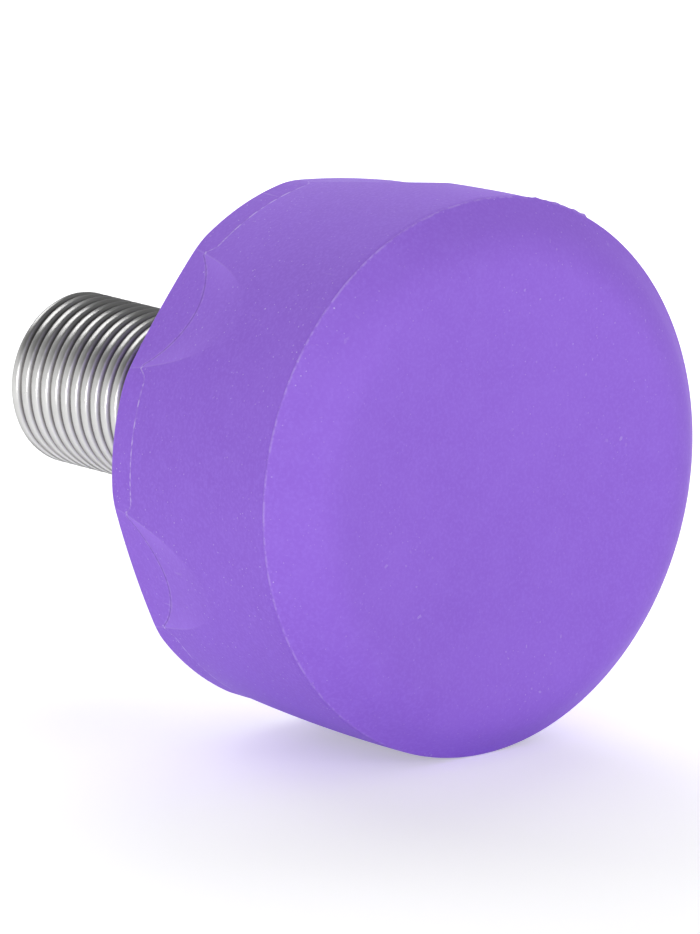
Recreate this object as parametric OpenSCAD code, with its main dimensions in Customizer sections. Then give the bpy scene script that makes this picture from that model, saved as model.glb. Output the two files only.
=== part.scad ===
// Adjustable toe stop for a quad roller skate: a moulded stopper on a threaded stem.
// The stem runs along +Y with its tip at +Y, the brake face looks along -Y, and +Z is up.
// The origin is on the stem's axis in the stopper's flat back face. Sizes are in millimetres.

/* [Stopper] */
// Radius at the parting line, where the stopper is widest
rim_r = 25.4; // [23:0.1:28]
// Length from the flat back face to the parting line
wall_h = 22.1; // [20:0.1:26]
// Draft of the side wall, in degrees: it narrows towards the back
draft = 2.75; // [2:0.05:5]
// How far the side wall bows out of a straight line at its middle
wall_bow = 0.23; // [0:0.01:0.3]
// Length of the straight band behind the drafted wall
land_h = 2.65; // [2:0.05:4]
// Height of the cap in front of the parting line
cap_h = 3.8; // [3:0.1:4.6]
// Slope of the cap's bevel at the parting line, in degrees
cap_slope = 46; // [40:1:50]
// Radius that blends the bevel into the brake face
cap_round = 6; // [4:0.5:7]

/* [Scoops] */
// Number of flat scoops around the back of the stopper
scoop_count = 6; // [3:1:8]
// Angle of the first scoop from +X towards +Z, in degrees
scoop_clock = 21.6; // [0:0.1:59.9]
// Width of a scoop where it meets the straight band
scoop_w = 11.5; // [9:0.1:13]
// Slope of a scoop's flat against the axis, in degrees
scoop_tilt = 8.7; // [7:0.1:10]
// Depth of the notch that a scoop leaves in the back edge
notch_depth = 0.73; // [0.6:0.01:0.8]
// Radius of the bowed floor of that notch
notch_r = 84; // [75:1:95]
// Lean of the notch's floor against the axis, in degrees
notch_lean = 3.85; // [3:0.05:4.5]

/* [Stem] */
// Major radius of the thread, half of 5/8 inch
thread_r = 7.9375; // [7.5:0.0005:8.5]
// Thread pitch, 18 turns to the inch
pitch = 1.4111; // [1.3:0.0001:1.6]
// Length of stem behind the stopper
stem_len = 34.7; // [30:0.1:40]
// Chamfer at the stem's tip
tip_chamfer = 0.5; // [0.3:0.05:0.8]
// Distance from the tip to the middle of the first groove
tip_lead = 0.85; // [0.7:0.05:1.2]
// Radius of the plain shank below the thread
shank_r = 7.4; // [7:0.05:7.5]
// Length of plain shank that shows behind the back face
plain_h = 0.6; // [0.4:0.1:1]
// Share of the pitch that is flat on the crests
crest_share = 0.25; // [0.2:0.01:0.3]
// Share of the pitch that is flat in the roots
root_share = 0.125; // [0.1:0.005:0.15]

/* [Anchor] */
// Depth of the anchor plate below the back face
anchor_y = 11; // [9:0.1:12]
// Radius of the anchor plate
anchor_r = 17; // [15:0.1:18]
// Thickness of the anchor plate
anchor_t = 3; // [2:0.1:3.5]
// Number of holes in the plate that the moulding compound flows through
flow_count = 6; // [4:1:8]
// Radius of each flow hole
flow_r = 2.6; // [2:0.1:3]
// Radius of the circle that the flow holes lie on
flow_pcd_r = 12.4; // [11.8:0.1:12.6]
// Radius of the stem's rivet spigot
spigot_r = 6; // [5:0.1:6.5]
// Radius of the rivet head that holds the plate
rivet_r = 7.6; // [7.2:0.1:8]
// Height of the rivet head
rivet_h = 1.2; // [0.8:0.1:1.6]

/* [Lock nut] */
// Width of the nut across its flats, 15/16 inch
nut_af = 23.8; // [22:0.1:25]
// Height of the nut
nut_h = 6.35; // [5:0.05:7]
// Angle of the chamfer on the nut's corners, in degrees
nut_chamfer = 30; // [20:1:35]
// Radius at which that chamfer meets the nut's end faces, as a share of the flats
nut_face_share = 0.95; // [0.9:0.01:0.97]
// Distance from the back face to the nut at rest
nut_y = 0.8; // [0.6:0.1:1]
// Outer radius of the washer
washer_r = 14; // [13:0.1:15]
// Thickness of the washer
washer_t = 1.6; // [1.2:0.1:2]

/* [Clearances] */
// Radial clearance of the nut's bore on the thread
thread_gap = 0.12; // [0.1:0.01:0.2]
// Radial clearance of the washer on the thread
washer_gap = 0.4; // [0.3:0.05:0.6]
// Clearance between the nut and the washer
seat_gap = 0.1; // [0.08:0.01:0.15]
// Bond line between the metal and the moulded stopper
bond_gap = 0.05; // [0.03:0.01:0.08]
// Clearance of the riveted joint
rivet_gap = 0.02; // [0.01:0.01:0.05]

/* [Hidden] */
$fn = 96;
// Overlap past a face that a cut or a joint passes through
over = 1;
// Radius of the wall where the straight band begins
land_r = rim_r - (wall_h - land_h) * tan(draft);
// Distance from the axis to a scoop's flat at the start of the straight band
scoop_d = sqrt(land_r * land_r - scoop_w * scoop_w / 4);
// Radius of the notch's floor at the back face
notch_floor = land_r - notch_depth;
// Steps in the wall's bow, and in the blend between the cap's bevel and the brake face
bow_steps = 6;
blend_steps = 8;
// Where the cap's bevel ends and its blend begins
bevel_l = (cap_h - cap_round * (1 - cos(cap_slope))) / sin(cap_slope);
bevel_end = [rim_r - bevel_l * cos(cap_slope), -wall_h - bevel_l * sin(cap_slope)];
blend_mid = bevel_end - cap_round * [sin(cap_slope), -cos(cap_slope)];
face_y = -wall_h - cap_h;
// Profile of the stem's thread
flank = tan(30);
crest_w = crest_share * pitch;
root_w = root_share * pitch;
thread_depth = (pitch - crest_w - root_w) / 2 / flank;
root_r = thread_r - thread_depth;
// Number of grooves between the tip and the plain shank
groove_count = ceil((stem_len - tip_lead - plain_h) / pitch);
// Bore of the nut, and the countersink at each end of it
nut_bore_r = thread_r + thread_gap;
nut_sink = 0.6;
washer_bore_r = thread_r + washer_gap;
washer_y = nut_y + nut_h + seat_gap;
nut_corner_r = nut_af / 2 / cos(30);
rivet_y = -anchor_y - anchor_t - rivet_gap;

// Node to build, or all of them

// Turns a shape drawn along Z so that it lies along Y
module along_y() {
    rotate([-90, 0, 0]) children();
}

// Half section of one thread groove, centred on height 0 and open past the crests
module groove_profile() {
    polygon([
        [root_r, -root_w / 2],
        [thread_r + over, -root_w / 2 - (thread_depth + over) * flank],
        [thread_r + over, root_w / 2 + (thread_depth + over) * flank],
        [root_r, root_w / 2]
    ]);
}

// Half profile of the straight band, the drafted and slightly bowed wall, and the cap
module stopper_profile() {
    polygon(concat(
        [[0, 0], [land_r, 0]],
        [for (i = [0:bow_steps])
            let (along = i / bow_steps)
            [land_r + (rim_r - land_r) * along + 4 * wall_bow * along * (1 - along),
             -land_h - (wall_h - land_h) * along]],
        [for (i = [0:blend_steps])
            let (turn = cap_slope * (1 - i / blend_steps))
            blend_mid + cap_round * [sin(turn), -cos(turn)]],
        [[0, face_y]]
    ));
}

// What one scoop takes away: all that lies outside its flat, down to the bowed floor of its notch
module scoop() {
    difference() {
        translate([scoop_d, 0, -land_h])
            rotate([0, -scoop_tilt, 0])
                translate([0, -scoop_w, -wall_h])
                    cube([rim_r, 2 * scoop_w, 2 * wall_h]);
        translate([notch_floor - notch_r, 0, 0])
            rotate([0, -notch_lean, 0])
                cylinder(r = notch_r, h = 6 * wall_h, center = true);
    }
}

// Disc with its flow holes; grow enlarges the disc and shrinks the holes for the cavity around it
module anchor_disc(grow) {
    difference() {
        translate([0, 0, -anchor_y - anchor_t - grow])
            cylinder(r = anchor_r + grow, h = anchor_t + 2 * grow);
        for (i = [0:flow_count - 1])
            rotate([0, 0, (i + 0.5) * 360 / flow_count])
                translate([flow_pcd_r, 0, -anchor_y - anchor_t - over])
                    cylinder(r = flow_r - grow, h = anchor_t + 2 * over);
    }
}

// Moulded stopper, bonded around the stem's foot and the anchor plate
module rubber_stopper() {
    color([0.576, 0.431, 0.843]) along_y() difference() {
        rotate_extrude() stopper_profile();
        for (i = [0:scoop_count - 1])
            rotate([0, 0, -scoop_clock - i * 360 / scoop_count]) scoop();
        translate([0, 0, -anchor_y - over]) cylinder(r = shank_r + bond_gap, h = anchor_y + 2 * over);
        anchor_disc(bond_gap);
        translate([0, 0, rivet_y - rivet_h - bond_gap])
            cylinder(r = rivet_r + bond_gap, h = rivet_h + bond_gap + over);
    }
}

// Half profile of the stem without its thread
module stem_profile() {
    polygon([
        [0, rivet_y - rivet_h],
        [rivet_r, rivet_y - rivet_h],
        [rivet_r, rivet_y],
        [spigot_r, rivet_y],
        [spigot_r, -anchor_y + rivet_gap],
        [shank_r, -anchor_y + rivet_gap],
        [shank_r, plain_h],
        [thread_r, plain_h + (thread_r - shank_r)],
        [thread_r, stem_len - tip_chamfer],
        [thread_r - tip_chamfer, stem_len],
        [0, stem_len]
    ]);
}

// Steel stem: threaded behind the stopper, plain and riveted to the anchor plate inside it
module threaded_stem() {
    color([0.74, 0.74, 0.76]) along_y() rotate_extrude() difference() {
        stem_profile();
        for (i = [0:groove_count - 1])
            translate([0, stem_len - tip_lead - i * pitch]) groove_profile();
    }
}

// Steel plate inside the stopper that keeps it from turning or pulling off the stem
module anchor_plate() {
    color([0.5, 0.5, 0.52]) along_y() difference() {
        anchor_disc(0);
        translate([0, 0, -anchor_y - anchor_t - over])
            cylinder(r = spigot_r + rivet_gap, h = anchor_t + 2 * over);
    }
}

// Hexagon whose corners are cut back by a cone at both ends
module chamfered_hex() {
    face_r = nut_face_share * nut_af / 2;
    intersection() {
        cylinder(r = nut_corner_r, h = nut_h, $fn = 6);
        cylinder(r1 = face_r, r2 = face_r + nut_h / tan(nut_chamfer), h = nut_h);
        cylinder(r1 = face_r + nut_h / tan(nut_chamfer), r2 = face_r, h = nut_h);
    }
}

// Thin lock nut that is turned along the stem and tightened against the skate's plate
module lock_nut() {
    color([0.70, 0.70, 0.72]) along_y() translate([0, 0, nut_y]) difference() {
        chamfered_hex();
        translate([0, 0, -over]) cylinder(r = nut_bore_r, h = nut_h + 2 * over);
        cylinder(r1 = nut_bore_r + nut_sink, r2 = nut_bore_r, h = nut_sink);
        translate([0, 0, nut_h - nut_sink])
            cylinder(r1 = nut_bore_r, r2 = nut_bore_r + nut_sink, h = nut_sink);
    }
}

// Flat washer between the lock nut and the skate's plate
module plate_washer() {
    color([0.72, 0.72, 0.74]) along_y() difference() {
        translate([0, 0, washer_y]) cylinder(r = washer_r, h = washer_t);
        translate([0, 0, washer_y - over]) cylinder(r = washer_bore_r, h = washer_t + 2 * over);
    }
}

rubber_stopper();
threaded_stem();
anchor_plate();
lock_nut();
plate_washer();
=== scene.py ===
import math
import bpy
import bmesh
from mathutils import Matrix, Vector


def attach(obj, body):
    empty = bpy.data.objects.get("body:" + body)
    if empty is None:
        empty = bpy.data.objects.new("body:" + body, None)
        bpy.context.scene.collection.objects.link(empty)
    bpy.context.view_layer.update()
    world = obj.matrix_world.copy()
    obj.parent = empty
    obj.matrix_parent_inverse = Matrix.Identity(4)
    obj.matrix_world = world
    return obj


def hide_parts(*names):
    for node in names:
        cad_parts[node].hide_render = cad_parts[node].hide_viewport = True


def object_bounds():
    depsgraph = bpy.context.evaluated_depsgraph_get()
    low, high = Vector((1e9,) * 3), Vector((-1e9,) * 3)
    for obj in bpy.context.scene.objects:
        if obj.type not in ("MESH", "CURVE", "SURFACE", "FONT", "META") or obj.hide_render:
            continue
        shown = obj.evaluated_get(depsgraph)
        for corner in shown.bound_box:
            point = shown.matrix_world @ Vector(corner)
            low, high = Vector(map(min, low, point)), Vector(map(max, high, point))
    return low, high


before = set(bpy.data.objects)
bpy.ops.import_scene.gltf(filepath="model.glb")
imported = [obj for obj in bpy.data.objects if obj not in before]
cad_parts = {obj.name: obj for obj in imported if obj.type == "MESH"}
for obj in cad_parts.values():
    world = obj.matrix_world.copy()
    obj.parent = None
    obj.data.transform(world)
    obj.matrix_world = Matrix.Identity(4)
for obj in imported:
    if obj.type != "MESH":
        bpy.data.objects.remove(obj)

cadBox = [list(corner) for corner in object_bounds()]
mm = 0.001
weldGap = 1e-6
planeGap = 1e-7
print("frame loaded", cadBox)


# mesh helpers: outlines are pairs of radius and height along the stem's axis, in millimetres

def chain(bm, points):
    # open line of vertices in the XY plane
    verts = [bm.verts.new((r * mm, y * mm, 0)) for r, y in points]
    edges = [bm.edges.new(pair) for pair in zip(verts, verts[1:])]
    return verts + edges


def lathe(bm, points, steps, angle=math.tau):
    # turns the line about the stem's axis, a full turn closing on itself
    bmesh.ops.spin(bm, geom=chain(bm, points), cent=(0, 0, 0), axis=(0, 1, 0),
                   angle=angle, steps=steps, use_merge=angle == math.tau)


def everything(bm):
    return bm.verts[:] + bm.edges[:] + bm.faces[:]


def onlyVerts(geom):
    return [g for g in geom if isinstance(g, bmesh.types.BMVert)]


def onlyEdges(geom):
    return [g for g in geom if isinstance(g, bmesh.types.BMEdge)]


def setRadius(vert, radius):
    # moves a vertex straight in or out from the axis
    share = radius * mm / math.hypot(vert.co.x, vert.co.z)
    vert.co.x, vert.co.z = vert.co.x * share, vert.co.z * share


def repeat(bm, count, step):
    # makes count of everything, each moved on by step from the last, and welds the joins
    first = everything(bm)
    move = step.copy()
    for _ in range(count - 1):
        copy = bmesh.ops.duplicate(bm, geom=first)["geom"]
        bmesh.ops.transform(bm, matrix=move, verts=onlyVerts(copy))
        move = move @ step
    bmesh.ops.remove_doubles(bm, verts=bm.verts, dist=2 * weldGap)


def newObject(bm, name, material):
    mesh = bpy.data.meshes.new(name)
    bm.to_mesh(mesh)
    bm.free()
    mesh.materials.append(material)
    made = bpy.data.objects.new(name, mesh)
    bpy.context.scene.collection.objects.link(made)
    return made


def finishMesh(bm, name, body, node, material, sharpDeg=None):
    # welds the mesh, smooths it but for sharp edges, and ties it to its body, node and slot
    bmesh.ops.remove_doubles(bm, verts=bm.verts, dist=weldGap)
    bmesh.ops.recalc_face_normals(bm, faces=bm.faces)
    for face in bm.faces:
        face.smooth = True
    if sharpDeg is not None:
        for edge in bm.edges:
            if len(edge.link_faces) == 2 and edge.calc_face_angle() > math.radians(sharpDeg):
                edge.smooth = False
    piece = newObject(bm, name, material)
    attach(piece, body)
    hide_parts(node)
    return piece


# node helpers: an input is either another node's output or a fixed value

def feed(tree, socket, source):
    if hasattr(source, "is_output"):
        tree.links.new(source, socket)
    else:
        socket.default_value = source


def addNode(tree, kind, inputs=None, **settings):
    node = tree.nodes.new(kind)
    for key, value in settings.items():
        setattr(node, key, value)
    for socket, source in (inputs or {}).items():
        feed(tree, node.inputs[socket], source)
    return node


def newMaterial(name):
    mat = bpy.data.materials.new(name)
    mat.use_nodes = True
    tree = mat.node_tree
    tree.nodes.clear()
    shader = tree.nodes.new("ShaderNodeBsdfPrincipled")
    addNode(tree, "ShaderNodeOutputMaterial", {"Surface": shader.outputs["BSDF"]})
    return mat, tree, shader


def objectPlace(tree):
    return addNode(tree, "ShaderNodeTexCoord").outputs["Object"]


def separate(tree, vector):
    return addNode(tree, "ShaderNodeSeparateXYZ", {"Vector": vector}).outputs


def noise(tree, place, scale, detail):
    return addNode(tree, "ShaderNodeTexNoise",
                   {"Vector": place, "Scale": scale, "Detail": detail}).outputs["Fac"]


def remap(tree, value, low, high, toLow=0.0, toHigh=1.0, smooth=False):
    return addNode(tree, "ShaderNodeMapRange",
                   {"Value": value, "From Min": low, "From Max": high, "To Min": toLow, "To Max": toHigh},
                   interpolation_type="SMOOTHSTEP" if smooth else "LINEAR").outputs["Result"]


def calc(tree, operation, *values):
    return addNode(tree, "ShaderNodeMath", dict(enumerate(values)), operation=operation).outputs[0]


def add(tree, a, b):
    return calc(tree, "ADD", a, b)


def times(tree, a, b):
    return calc(tree, "MULTIPLY", a, b)


def larger(tree, a, b):
    return calc(tree, "MAXIMUM", a, b)


def mixColour(tree, share, a, b):
    a, b = (c + (1,) if isinstance(c, tuple) else c for c in (a, b))
    return addNode(tree, "ShaderNodeMix", {0: share, 6: a, 7: b}, data_type="RGBA").outputs[2]


def bump(tree, height, depth, strength):
    return addNode(tree, "ShaderNodeBump",
                   {"Height": height, "Distance": depth * mm, "Strength": strength}).outputs["Normal"]


# camera at the photograph's place: turned and raised about the stem's axis, far away with a long lens

photoView = dict(turn=-40.54, rise=12.72, roll=-0.22, away=1360.8, right=7.894, up=-3.965, pivotY=7.9,
                 focalPixels=15000, width=700, sensor=36, clip=(0.01, 20))


def makeCamera(c):
    turn, rise, roll = (math.radians(c[key]) for key in ("turn", "rise", "roll"))
    back = Vector((math.sin(turn) * math.cos(rise), -math.cos(turn) * math.cos(rise), math.sin(rise)))
    side = Vector((math.cos(turn), math.sin(turn), 0))
    up = back.cross(side)
    side, up = side * math.cos(roll) + up * math.sin(roll), up * math.cos(roll) - side * math.sin(roll)
    pivot = Vector((0, c["pivotY"], 0))
    place = (side * c["right"] + up * c["up"] + back * c["away"] + pivot) * mm
    data = bpy.data.cameras.new("photoCamera")
    data.sensor_fit = "HORIZONTAL"
    data.sensor_width = c["sensor"]
    data.lens = c["focalPixels"] / c["width"] * c["sensor"]
    data.clip_start, data.clip_end = c["clip"]
    camera = bpy.data.objects.new("photoCamera", data)
    camera.matrix_world = Matrix.Translation(place) @ Matrix((side, up, back)).transposed().to_4x4()
    bpy.context.scene.collection.objects.link(camera)
    bpy.context.scene.camera = camera


makeCamera(photoView)
print("camera placed")


# stopper: drafted wall with six scoops, a straight band at the back, bevelled cap and a parting line

stopper = dict(
    rimR=25.4, wallH=22.1, draft=2.75, bow=0.23, landH=2.65,
    capH=3.8, capSlope=46, capRound=6.0, bevelSteps=4, roundSteps=16,
    faceRings=(18, 16, 13, 10, 7, 4, 2, 0),
    scoops=6, scoopClock=21.6, scoopW=11.5, scoopTilt=8.7, hollow=0.08, soft=0.05,
    notchDepth=0.73, notchR=84, notchLean=3.85, bandSoft=0.25,
    boreR=7.45, boreDepth=11, mouth=0.5, mouthKnee=0.15, backRings=(10, 14, 18, 21, 22.4),
    edgeRound=0.18, edgeTurns=(0, 15, 30, 45, 60, 75, 90), sharpDeg=30,
    sectorSteps=60, ringStep=0.25, wallEnd=0.45,  # the wall's rings stop wallEnd short of the parting line
    shapedR=22.5, shapedEnd=0.3,  # vertices beyond these take the scooped shape
    lineW=0.08, edgeW=0.07, clear=9.0,  # units of the line attributes, and their value off the wall
    # the bead on the parting line: each inset in units of flash, and its lift
    flash=0.05, bead=((1.3, 0.26), (1.1, 0.14), (0.3, 0.07), (0, 0.02), (0.1, -0.03), (1.2, -0.10)),
    beadFoot=0.2,
    fin=dict(start=60, end=81, height=0.16, root=0.06,
             lead=1.5, leadShare=1.2, ragged=0.4, waves=(1.7, 0.61)),
)


def softMax(a, b, k):
    h = max(k - abs(a - b), 0) / k
    return max(a, b) + h * h * k / 4


def stopperShape(s):
    # radius of the outside at an angle and height,
    # and how far that spot is from the mould line and from a scoop's edge
    landR = s["rimR"] - (s["wallH"] - s["landH"]) * math.tan(math.radians(s["draft"]))
    flatD = math.sqrt(landR ** 2 - s["scoopW"] ** 2 / 4)
    tiltTan, leanTan = (math.tan(math.radians(s[key])) for key in ("scoopTilt", "notchLean"))
    sectorDeg = 360 / s["scoops"]

    def at(azimuth, y):
        off = math.radians((azimuth - s["scoopClock"] + sectorDeg / 2) % sectorDeg - sectorDeg / 2)
        below = -s["landH"] - y
        along = below / (s["wallH"] - s["landH"])
        cone = landR + (s["rimR"] - landR) * along + 4 * s["bow"] * along * (1 - along)
        across = landR * math.sin(off) * 2 / s["scoopW"]
        dish = s["hollow"] * max(1 - across * across, 0)
        flat = (flatD + below * tiltTan - dish) / math.cos(off)
        middle = landR - s["notchDepth"] - y * leanTan - s["notchR"]
        notch = middle * math.cos(off) + math.sqrt(s["notchR"] ** 2 - (middle * math.sin(off)) ** 2)
        wall = -softMax(-cone, -flat, s["soft"])
        band = -softMax(-landR, -notch, s["bandSoft"])
        return max(wall, band), (band - wall) / s["lineW"], (flat - cone) / s["edgeW"]

    return landR, at


def stopperOutline(s, landR):
    # from the bottom of the bore round the back edge, along the wall and over the cap to the face's middle
    bore, deep, e = s["boreR"], -s["boreDepth"], s["edgeRound"]
    mouth, knee = s["mouth"], s["mouthKnee"]
    points = [(0, deep), (bore, deep), (bore, -mouth), (bore + knee, -knee), (bore + mouth, 0)]
    points += [(r, 0) for r in s["backRings"]]
    points += [(landR - e + e * math.sin(t), -e + e * math.cos(t))
               for t in (math.radians(turn) for turn in s["edgeTurns"])]
    run = s["wallH"] - s["wallEnd"] - e
    rings = int(run / s["ringStep"])
    points += [(landR, -e - (i + 1) * run / rings) for i in range(rings)]
    rimR, rimY = s["rimR"], -s["wallH"]
    bead = [(rimR - s["flash"] * inset, rimY + lift) for inset, lift in s["bead"]]
    slope, capRound = math.radians(s["capSlope"]), s["capRound"]
    slopeCos, slopeSin = math.cos(slope), math.sin(slope)
    points += bead + [(bead[-1][0] - s["beadFoot"] * slopeCos, bead[-1][1] - s["beadFoot"] * slopeSin)]
    bevelL = (s["capH"] - capRound * (1 - slopeCos)) / slopeSin
    bevelR, bevelY = rimR - bevelL * slopeCos, rimY - bevelL * slopeSin
    points += [(rimR + (bevelR - rimR) * k / s["bevelSteps"], rimY + (bevelY - rimY) * k / s["bevelSteps"])
               for k in range(1, s["bevelSteps"])]
    midR, midY = bevelR - capRound * slopeSin, bevelY + capRound * slopeCos
    points += [(midR + capRound * math.sin(t), midY - capRound * math.cos(t))
               for t in (slope * (1 - i / s["roundSteps"]) for i in range(s["roundSteps"] + 1))]
    return points + [(r, rimY - s["capH"]) for r in s["faceRings"]]


def addFin(bm, s):
    # a ragged sliver of flash left on the parting line, highest where it starts
    fin = s["fin"]
    for v in bm.verts:
        azimuth = math.degrees(math.atan2(v.co.z, v.co.x))
        if abs(v.co.y / mm + s["wallH"]) < fin["root"] and fin["start"] <= azimuth <= fin["end"]:
            wave = math.sin(azimuth * fin["waves"][0]) * math.sin(azimuth * fin["waves"][1])
            share = 1 - fin["ragged"] + fin["ragged"] * wave
            if azimuth < fin["start"] + fin["lead"]:
                share = fin["leadShare"]
            setRadius(v, math.hypot(v.co.x, v.co.z) / mm + fin["height"] * share)


def makeStopper(s, material):
    # one sixth of the moulding, drawn to its scooped shape and repeated
    landR, at = stopperShape(s)
    sector, e = math.tau / s["scoops"], s["edgeRound"]
    bm = bmesh.new()
    lathe(bm, stopperOutline(s, landR), s["sectorSteps"], sector)
    line = bm.verts.layers.float.new("mouldLine")
    edge = bm.verts.layers.float.new("scoopEdge")
    for v in bm.verts:
        x, y, z = (c / mm for c in v.co)
        v[line] = v[edge] = s["clear"]
        if math.hypot(x, z) > s["shapedR"] and y > s["shapedEnd"] - s["wallH"]:
            radius, v[line], v[edge] = at(math.degrees(math.atan2(z, x)), y)
            lift = max(y + e, 0)
            setRadius(v, radius - e + math.sqrt(max(e * e - lift * lift, 0)))
    repeat(bm, s["scoops"], Matrix.Rotation(sector, 4, "Y"))
    addFin(bm, s)
    finishMesh(bm, "stopperMoulding", "stopper", "rubber_stopper", material, s["sharpDeg"])


# rubber: heights along the axis and partingW in millimetres, other widths in units of the line attributes
rubber = dict(
    deep=(0.312, 0.148, 0.755), light=(0.336, 0.163, 0.800), bloom=(0.375, 0.205, 0.850),
    # painted light: the scoop colour is a paler tone standing in for light falling in the scoops
    # the line colour serves the pale mould and parting lines and also the painted highlights
    speckTint=(0.74, 0.64, 0.97), paintedScoopLight=(0.46, 0.265, 0.96), lineAndHighlightTint=(0.64, 0.50, 0.95),
    # painted shade: the colour that starts this line darkens the mould line's crease inside the scoops
    paintedCreaseShade=(0.17, 0.07, 0.47), rough=(0.50, 0.62), specular=0.10,
    # scale and detail of each noise
    cloud=(60, 3), mottle=(420, 3), grain=(3200, 2), drift=(45, 2),
    breaks=(1700, 2), patches=(90, 2), streak=(1, 1),
    # the stretch of each that counts, and for some what it turns into
    cloudSpan=(0.3, 0.7), mottleSpan=(0.45, 0.70), grainSpan=(0.45, 0.65), streakSpan=(0.72, 0.76),
    driftSpan=(0.35, 0.62, 0.25, 1.0), breakSpan=(0.44, 0.58, 0.12, 1.0), patchFade=0.04,
    roughSpan=(0.4, 1.1), mottleRough=0.5,
    specks=((2000.0, 0.16, 0.75), (800.0, 0.085, 0.80)),  # cells in a metre, size and share of each kind
    streaks=(((0.3, 0.2, 0.6), 0.60), ((0.9, 0.1, -0.7), 0.63)),  # turn and rareness of each kind
    streakStretch=(1400.0, 90.0, 1400.0),
    capEdge=(-23.5, -22.2), capDust=0.35, capGrain=0.36, wallGrain=0.48,
    scoopFade=(-10.5, -6.0), scoopFar=0.1, scoopStart=(0.05, -0.25), scoopMiddle=(-7.0, -0.5, 0.25, 1.0),
    scoopBand=(0.4, -0.1, 0.35, 1.0), insideW=(-0.1, -0.6), edgeHighlightFade=(-9, -4), edgeHighlightW=(0.45, 0.05),
    seamW=(0.14, 0.05), seamHighlightW=(0.42, 0.16), partingW=(0.20, 0.04),
    mottleShare=0.16, scoopLightShare=0.40, dustShare=0.95, streakShare=0.22,
    landSeamShare=0.85, partingShare=0.32, seamHighlightShare=0.22, edgeHighlightShare=0.16, creaseShadeShare=0.42,
    grainBump=0.5, mottleBump=0.9, pitBump=0.6, seamBump=2.4, bumpDepth=0.04, bumpStrength=0.5,
)


def specks(tree, place, cells, size, amount):
    # round dots in some of the cells of a cellular pattern
    dot = addNode(tree, "ShaderNodeTexVoronoi", {"Vector": place, "Scale": cells}).outputs
    chosen = addNode(tree, "ShaderNodeSeparateColor", {"Color": dot["Color"]}).outputs["Red"]
    return times(tree, remap(tree, dot["Distance"], size, size / 2), remap(tree, chosen, amount, 0.0))


def scratches(tree, place, c, turn, rareness):
    # short streaks: noise stretched along one way, kept only in patches
    across = addNode(tree, "ShaderNodeMapping",
                     {"Vector": place, "Rotation": turn, "Scale": c["streakStretch"]}).outputs["Vector"]
    streak = remap(tree, noise(tree, across, *c["streak"]), *c["streakSpan"])
    patch = remap(tree, noise(tree, place, *c["patches"]), rareness, rareness + c["patchFade"])
    return times(tree, streak, patch)


def rubberDust(tree, place, onWall, c):
    # pale specks that lie in drifts, fewer of them on the cap
    dots = larger(tree, *(specks(tree, place, *kind) for kind in c["specks"]))
    drift = remap(tree, noise(tree, place, *c["drift"]), *c["driftSpan"])
    return times(tree, dots, times(tree, drift, remap(tree, onWall, 0, 1, c["capDust"], 1.0)))


def paintedScoopLightMask(tree, along, line, edge, c):
    # painted light in the scoops: strongest beside a scoop's edge, fading out up the wall and stopping at
    # the mould line
    scoopLightMask = times(tree, remap(tree, edge, *c["scoopStart"]), remap(tree, edge, *c["scoopMiddle"]))
    low, high = (y * mm for y in c["scoopFade"])
    scoopLightMask = times(tree, scoopLightMask, remap(tree, along, low, high, c["scoopFar"], 1.0))
    return times(tree, scoopLightMask, remap(tree, line, *c["scoopBand"]))


def paleLinesAndHighlights(tree, place, along, line, edge, seam, inside, c):
    # the mould line on the lands and the parting line, with painted highlights beside the mould line in the
    # scoops and along the scoops' edges
    fromLine = calc(tree, "ABSOLUTE", line)
    landSeam = times(tree, seam, calc(tree, "SUBTRACT", 1.0, inside))
    # painted highlight: pale sides beside the mould line in the scoops
    seamHighlights = times(tree, remap(tree, fromLine, *c["seamHighlightW"], smooth=True), inside)
    fromParting = calc(tree, "ABSOLUTE", add(tree, along, stopper["wallH"] * mm))
    parting = remap(tree, fromParting, *(w * mm for w in c["partingW"]), smooth=True)
    lines = larger(tree, times(tree, landSeam, c["landSeamShare"]), times(tree, parting, c["partingShare"]))
    lines = larger(tree, lines, times(tree, seamHighlights, c["seamHighlightShare"]))
    broken = remap(tree, noise(tree, place, *c["breaks"]), *c["breakSpan"])
    # painted highlight along the scoops' edges near their start
    atEdge = remap(tree, calc(tree, "ABSOLUTE", edge), *c["edgeHighlightW"], smooth=True)
    edgeHighlight = times(tree, atEdge, remap(tree, along, *(y * mm for y in c["edgeHighlightFade"])))
    return larger(tree, times(tree, lines, broken), times(tree, edgeHighlight, c["edgeHighlightShare"]))


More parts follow.
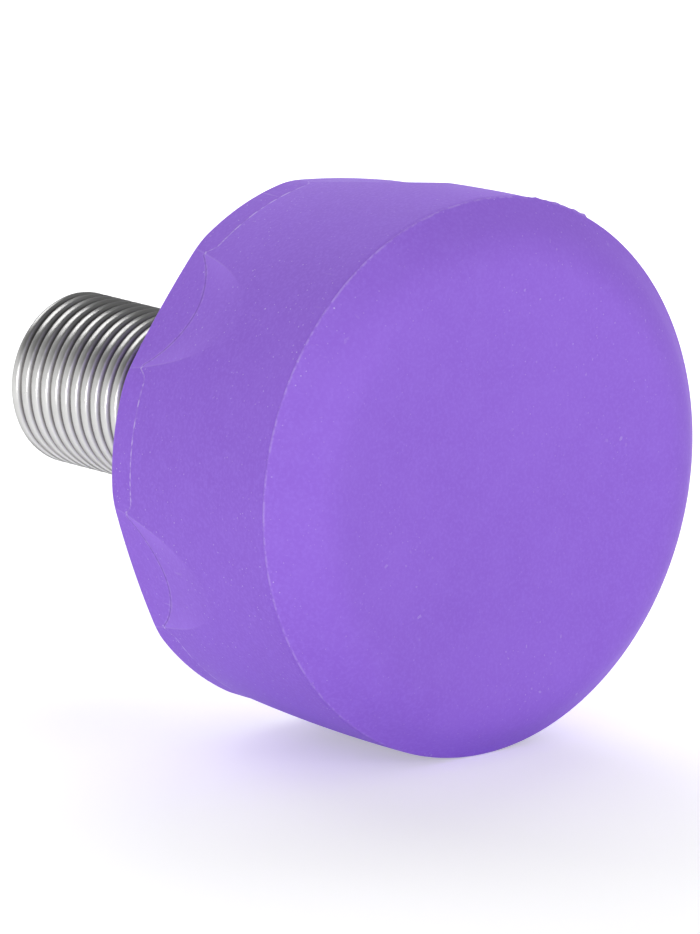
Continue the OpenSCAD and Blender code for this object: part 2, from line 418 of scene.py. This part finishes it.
def rubberFinish(c):
    mat, tree, shader = newMaterial("purpleUrethane")
    place = objectPlace(tree)
    along = separate(tree, place)["Y"]
    line, edge = (addNode(tree, "ShaderNodeAttribute", attribute_name=name).outputs["Fac"]
                  for name in ("mouldLine", "scoopEdge"))
    cloud, mottle, grain = (noise(tree, place, *c[key]) for key in ("cloud", "mottle", "grain"))
    onWall = remap(tree, along, *(y * mm for y in c["capEdge"]))
    dust = rubberDust(tree, place, onWall, c)
    marks = larger(tree, *(scratches(tree, place, c, *kind) for kind in c["streaks"]))
    seam = remap(tree, calc(tree, "ABSOLUTE", line), *c["seamW"], smooth=True)
    inside = remap(tree, edge, *c["insideW"])
    base = mixColour(tree, remap(tree, cloud, *c["cloudSpan"]), c["deep"], c["light"])
    blotches = times(tree, remap(tree, mottle, *c["mottleSpan"]), c["mottleShare"])
    base = mixColour(tree, blotches, base, c["bloom"])
    grainShare = remap(tree, onWall, 0, 1, c["capGrain"], c["wallGrain"])
    base = mixColour(tree, times(tree, remap(tree, grain, *c["grainSpan"]), grainShare), base, c["bloom"])
    # painted light: the scoops are given a paler tone
    scoopLightMask = paintedScoopLightMask(tree, along, line, edge, c)
    base = mixColour(tree, times(tree, scoopLightMask, c["scoopLightShare"]), base, c["paintedScoopLight"])
    pale = larger(tree, times(tree, dust, c["dustShare"]), times(tree, marks, c["streakShare"]))
    base = mixColour(tree, pale, base, c["speckTint"])
    # pale mould and parting lines, plus painted highlights beside the mould line in the scoops and on the
    # scoops' edges
    base = mixColour(tree, paleLinesAndHighlights(tree, place, along, line, edge, seam, inside, c), base, c["lineAndHighlightTint"])
    # painted shade: the mould line's crease inside the scoops is darkened
    creaseShade = times(tree, seam, inside)
    base = mixColour(tree, times(tree, creaseShade, c["creaseShadeShare"]), base, c["paintedCreaseShade"])
    feed(tree, shader.inputs["Base Color"], base)
    uneven = add(tree, cloud, times(tree, mottle, c["mottleRough"]))
    feed(tree, shader.inputs["Roughness"], remap(tree, uneven, *c["roughSpan"], *c["rough"]))
    feed(tree, shader.inputs["Specular IOR Level"], c["specular"])
    height = add(tree, times(tree, grain, c["grainBump"]), times(tree, mottle, c["mottleBump"]))
    height = calc(tree, "SUBTRACT", height, times(tree, larger(tree, dust, marks), c["pitBump"]))
    height = calc(tree, "SUBTRACT", height, times(tree, seam, c["seamBump"]))
    feed(tree, shader.inputs["Normal"], bump(tree, height, c["bumpDepth"], c["bumpStrength"]))
    return mat


makeStopper(stopper, rubberFinish(rubber))
print("stopper moulded")


# steel of the stem, nut, washer and anchor plate: turned says how strong the tool marks about the axis are

steel = dict(
    cloud=(220, 4), fine=(3000, 2), rings=(4200, 3),  # scale and detail of each noise
    cloudSpan=(0.35, 0.65), cloudDark=0.9, ringSpan=(0.5, 0.75), ringDark=0.7, ringShare=0.3,
    # painted shade: the groove colour darkens the thread's roots
    paintedGrooveShade=(0.10, 0.09, 0.09), grooveShadeShare=0.85, endFace=(0.03, 0.3), edgeTint=(0.14, 0.14, 0.15, 1),
    fineRough=0.4, roughSpan=(0.4, 1.0), rough=(0.24, 0.42),
    cloudBump=0.5, ringBump=1.5, bumpDepth=0.02, bumpStrength=0.35,
)


def steelFinish(name, tint, turned=0.0, grooves=None, endY=0.0):
    c = steel
    mat, tree, shader = newMaterial(name)
    place = objectPlace(tree)
    cloud, fine = (noise(tree, place, *c[key]) for key in ("cloud", "fine"))
    flat = addNode(tree, "ShaderNodeVectorMath", {0: place, 1: (1, 0, 1)}, operation="MULTIPLY").outputs[0]
    radius = addNode(tree, "ShaderNodeVectorMath", {0: flat}, operation="LENGTH").outputs["Value"]
    byRadius = addNode(tree, "ShaderNodeCombineXYZ", {"X": radius}).outputs["Vector"]
    rings = noise(tree, byRadius, *c["rings"])
    cloudTint, ringTint = (tuple(v * c[dark] for v in tint) for dark in ("cloudDark", "ringDark"))
    base = mixColour(tree, remap(tree, cloud, *c["cloudSpan"]), cloudTint, tint)
    toolMarks = times(tree, remap(tree, rings, *c["ringSpan"]), c["ringShare"] * turned)
    base = mixColour(tree, toolMarks, base, ringTint)
    if grooves:
        # painted shade between the crests, but not on the end face
        deep = remap(tree, radius, *(r * mm for r in grooves), smooth=True)
        along = separate(tree, place)["Y"]
        deep = times(tree, deep, remap(tree, along, *((endY - gap) * mm for gap in c["endFace"])))
        base = mixColour(tree, times(tree, deep, c["grooveShadeShare"]), base, c["paintedGrooveShade"])
    feed(tree, shader.inputs["Base Color"], base)
    feed(tree, shader.inputs["Metallic"], 1.0)
    feed(tree, shader.inputs["Specular Tint"], c["edgeTint"])
    uneven = add(tree, cloud, times(tree, fine, c["fineRough"]))
    feed(tree, shader.inputs["Roughness"], remap(tree, uneven, *c["roughSpan"], *c["rough"]))
    height = add(tree, fine, times(tree, cloud, c["cloudBump"]))
    height = add(tree, height, times(tree, rings, c["ringBump"] * turned))
    feed(tree, shader.inputs["Normal"], bump(tree, height, c["bumpDepth"], c["bumpStrength"]))
    return mat


# stem: one turn of thread, repeated along the axis and cut to length

stem = dict(
    majorR=7.9375, pitch=1.4111, crestShare=0.52, rootShare=0.14, steps=72, spareTurns=2,
    # each pair is a lift off the root or a drop below the crest, and a share of half its width
    rootRound=((0, 0.7), (0.05, 1.25)), crown=((0.10, 1.13), (0.045, 0.98), (0.02, 0.75), (0.005, 0.4)),
    length=34.7, lead=0.85, chamfer=0.5, endR=6.6, shankR=7.4, shankTop=0.6, footY=-10.98, sharpDeg=40,
    tint=(0.70, 0.70, 0.69), turned=0.4, grooves=(7.86, 7.60),
)


def threadProfile(s):
    # from the middle of one groove to the middle of the next, with crowned crests and rolled corners
    crest, root = s["crestShare"] * s["pitch"], s["rootShare"] * s["pitch"]
    low = s["majorR"] - (s["pitch"] - crest - root) / 2 * math.sqrt(3)
    half = s["pitch"] / 2
    up = [(low, 0)]
    up += [(low + lift, root / 2 * share) for lift, share in s["rootRound"]]
    up += [(s["majorR"] - drop, half - crest / 2 * share) for drop, share in s["crown"]]
    return up + [(s["majorR"], half)] + [(r, s["pitch"] - y) for r, y in reversed(up)]


def closeEnd(bm, edges, radius, y):
    # draws an open end to a round rim and fills it
    rim = bmesh.ops.extrude_edge_only(bm, edges=edges)["geom"]
    for v in onlyVerts(rim):
        setRadius(v, radius)
        v.co.y = y * mm
    bmesh.ops.edgeloop_fill(bm, edges=onlyEdges(rim))


def makeStem(s, material):
    turns = int((s["length"] - s["shankTop"]) / s["pitch"]) + s["spareTurns"]
    start = s["length"] - s["lead"] - turns * s["pitch"] + s["pitch"]
    bm = bmesh.new()
    profile = chain(bm, [(r, y + start) for r, y in threadProfile(s)])
    bmesh.ops.spin(bm, geom=profile, cent=(0, 0, 0), axis=(0, 1, 0), angle=math.tau,
                   dvec=(0, s["pitch"] * mm / s["steps"], 0), steps=s["steps"], use_merge=False)
    repeat(bm, turns, Matrix.Translation((0, s["pitch"] * mm, 0)))
    for height, side in ((s["length"], 1), (s["shankTop"], -1)):
        bmesh.ops.bisect_plane(bm, geom=everything(bm), plane_co=(0, height * mm, 0),
                               plane_no=(0, side, 0), clear_outer=True)
    for v in bm.verts:
        y = v.co.y / mm
        tipLimit = s["majorR"] - s["chamfer"] + (s["length"] - y)
        limit = min(s["majorR"], tipLimit, s["shankR"] + (y - s["shankTop"]))
        if math.hypot(v.co.x, v.co.z) / mm > limit:
            setRadius(v, limit)
    tip = [edge for edge in bm.edges if edge.is_boundary
           and all(abs(v.co.y - s["length"] * mm) < planeGap for v in edge.verts)]
    closeEnd(bm, tip, s["endR"], s["length"])
    closeEnd(bm, [edge for edge in bm.edges if edge.is_boundary], s["shankR"], s["footY"])
    finishMesh(bm, "threadedStem", "stopper", "threaded_stem", material, s["sharpDeg"])


makeStem(stem, steelFinish("platedSteel", stem["tint"], stem["turned"], stem["grooves"], stem["length"]))
print("stem threaded")


# lock nut: a turned blank whose rings are drawn in to the six flats, so the chamfer leaves its arcs

nut = dict(sides=6, acrossFlats=23.8, height=6.35, lowY=0.8, chamfer=30, faceShare=0.95, faceRing=10,
           barR=13.62, boreR=8.0575, sink=0.6, steps=180, coneSteps=3, flatSteps=8,
           edgeRound=0.09, edgeSteps=2, edgeAngle=25, tint=(0.74, 0.74, 0.75), turned=1.0)


def makeNut(n, material):
    low, high = n["lowY"], n["lowY"] + n["height"]
    bore, sink, halfFlats = n["boreR"], n["sink"], n["acrossFlats"] / 2
    faceR, chamferTan = n["faceShare"] * halfFlats, math.tan(math.radians(n["chamfer"]))
    width = n["barR"] - faceR
    rise = width * chamferTan
    cone = [(faceR + width * k / n["coneSteps"], rise * k / n["coneSteps"])
            for k in range(n["coneSteps"] + 1)]
    points = [(bore, low + sink), (bore + sink, low), (n["faceRing"], low)]
    points += [(r, low + y) for r, y in cone]
    points += [(n["barR"], low + rise + (n["height"] - 2 * rise) * k / n["flatSteps"])
               for k in range(1, n["flatSteps"])]
    points += [(r, high - y) for r, y in reversed(cone)]
    points += [(n["faceRing"], high), (bore + sink, high), (bore, high - sink), (bore, low + sink)]
    bm = bmesh.new()
    lathe(bm, points, n["steps"])
    near, sideDeg = 1e-4, 360 / n["sides"]
    for v in bm.verts:
        x, y, z = (c / mm for c in v.co)
        radius = math.hypot(x, z)
        if radius < faceR + near:
            continue
        off = math.radians(math.degrees(math.atan2(z, x)) % sideDeg - sideDeg / 2)
        reach = min(halfFlats / math.cos(off), n["barR"])
        if low + rise - near <= y <= high - rise + near:  # on a flat or corner
            foot = (reach - faceR) * chamferTan
            share = (y - low - rise) / (n["height"] - 2 * rise)
            setRadius(v, reach)
            v.co.y = (low + foot + (n["height"] - 2 * foot) * share) * mm
        else:  # on a chamfer
            out = (radius - faceR) / width * (reach - faceR)
            depth = out * chamferTan
            setRadius(v, faceR + out)
            v.co.y = (low + depth if y < low + rise else high - depth) * mm
    piece = finishMesh(bm, "lockNut", "nut", "lock_nut", material)
    soften = piece.modifiers.new("edgeRound", "BEVEL")
    soften.width, soften.segments = n["edgeRound"] * mm, n["edgeSteps"]
    soften.limit_method, soften.angle_limit = "ANGLE", math.radians(n["edgeAngle"])
    soften.harden_normals = True


makeNut(nut, steelFinish("nutSteel", nut["tint"], nut["turned"]))
print("nut made")


# washer: stamped, so one side has rolled edges and the other is nearly sharp

washer = dict(innerR=8.3375, outerR=14, lowY=7.25, thickness=1.6, rolled=0.32, sharp=0.10,
              sideRings=(10, 12), cornerSteps=5, steps=144, sharpDeg=40,
              tint=(0.76, 0.76, 0.77), turned=0.7)


def makeWasher(w, material):
    inner, outer, low, high = w["innerR"], w["outerR"], w["lowY"], w["lowY"] + w["thickness"]
    k, e = w["rolled"], w["sharp"]

    def corner(midR, midY, radius, start):
        turns = (math.radians(start + 90 * i / w["cornerSteps"]) for i in range(w["cornerSteps"] + 1))
        return [(midR + radius * math.cos(t), midY + radius * math.sin(t)) for t in turns]

    points = corner(inner + e, low + e, e, 180) + [(r, low) for r in w["sideRings"]]
    points += corner(outer - e, low + e, e, 270) + corner(outer - k, high - k, k, 0)
    points += [(r, high) for r in reversed(w["sideRings"])] + corner(inner + k, high - k, k, 90)
    bm = bmesh.new()
    lathe(bm, points + points[:1], w["steps"])
    finishMesh(bm, "plateWasher", "washer", "plate_washer", material, w["sharpDeg"])


makeWasher(washer, steelFinish("washerSteel", washer["tint"], washer["turned"]))
print("washer made")


# the plate bonded inside the moulding keeps its CAD shape and gets a plain steel finish

anchor = dict(node="anchor_plate", tint=(0.52, 0.52, 0.53))
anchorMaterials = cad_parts[anchor["node"]].data.materials
anchorMaterials.clear()
anchorMaterials.append(steelFinish("anchorSteel", anchor["tint"]))
print("anchor plate finished")


# floor, studio light and world: a mirrored lamp also shows in the metal

studio = dict(
    floorSize=6.0, floorTint=(0.90, 0.90, 0.90, 1), floorRough=0.9, floorSpecular=0.1, lift=0.38,
    ambient=0.36, ceiling=0.15, skyFade=(0.12, 0.55),
    lamps=[
        dict(name="frontLamp", place=(0.10, -0.90, 0.08), size=(0.6, 0.6), power=3.65, mirrored=True),
        dict(name="leftStrip", place=(-1.08, -0.33, 0.075), size=(1.05, 0.21), power=4.75, mirrored=True),
        dict(name="backLamp", place=(0.30, 0.80, 0.20), size=(0.5, 0.3), power=3.4, mirrored=False),
        dict(name="sideLamp", place=(0.45, 0.36, 0.46), size=(0.5, 0.5), power=2.5, mirrored=False),
        dict(name="highLamp", place=(0.04, 0.593, 0.52), size=(0.42, 0.30), power=0.90, mirrored=True),
    ],
)
white = (1, 1, 1, 1)


def seenRays(tree):
    # 1 where the camera sees a surface itself, or sees it in metal or through glass
    path = addNode(tree, "ShaderNodeLightPath").outputs
    direct = larger(tree, path["Is Camera Ray"], path["Is Glossy Ray"])
    return larger(tree, direct, path["Is Transmission Ray"])


def makeFloor(s, floorZ):
    mat, tree, shader = newMaterial("paleFloor")
    feed(tree, shader.inputs["Base Color"], s["floorTint"])
    feed(tree, shader.inputs["Roughness"], s["floorRough"])
    feed(tree, shader.inputs["Specular IOR Level"], s["floorSpecular"])
    feed(tree, shader.inputs["Emission Color"], white)
    feed(tree, shader.inputs["Emission Strength"], times(tree, seenRays(tree), s["lift"]))
    bm = bmesh.new()
    bmesh.ops.create_grid(bm, x_segments=1, y_segments=1, size=s["floorSize"] / 2)
    bmesh.ops.translate(bm, verts=bm.verts, vec=(0, 0, floorZ))
    floor = newObject(bm, "studioFloor", mat)


def makeLamp(name, place, size, power, mirrored):
    data = bpy.data.lights.new(name, "AREA")
    data.shape, data.energy = "RECTANGLE", power
    data.size, data.size_y = size
    lamp = bpy.data.objects.new(name, data)
    lamp.location = place
    lamp.visible_glossy = mirrored
    lamp.rotation_euler = (-Vector(place)).to_track_quat("-Z", "Y").to_euler()
    bpy.context.scene.collection.objects.link(lamp)


def makeWorld(s):
    # even light on the object, and a white horizon under a darker ceiling where it is seen
    world = bpy.data.worlds.new("studioWorld")
    world.use_nodes = True
    bpy.context.scene.world = world
    tree = world.node_tree
    tree.nodes.clear()
    height = separate(tree, addNode(tree, "ShaderNodeTexCoord").outputs["Generated"])["Z"]
    seenLevel = remap(tree, height, *s["skyFade"], 1.0, s["ceiling"], smooth=True)
    level = addNode(tree, "ShaderNodeMix", {0: seenRays(tree), 2: s["ambient"], 3: seenLevel},
                    data_type="FLOAT")
    sky = addNode(tree, "ShaderNodeBackground", {"Color": white, "Strength": level.outputs[0]})
    addNode(tree, "ShaderNodeOutputWorld", {"Surface": sky.outputs["Background"]})


makeFloor(studio, cadBox[0][2])
for lampValues in studio["lamps"]:
    makeLamp(**lampValues)
makeWorld(studio)
bpy.context.scene.view_settings.view_transform = "Standard"
print("studio lit")
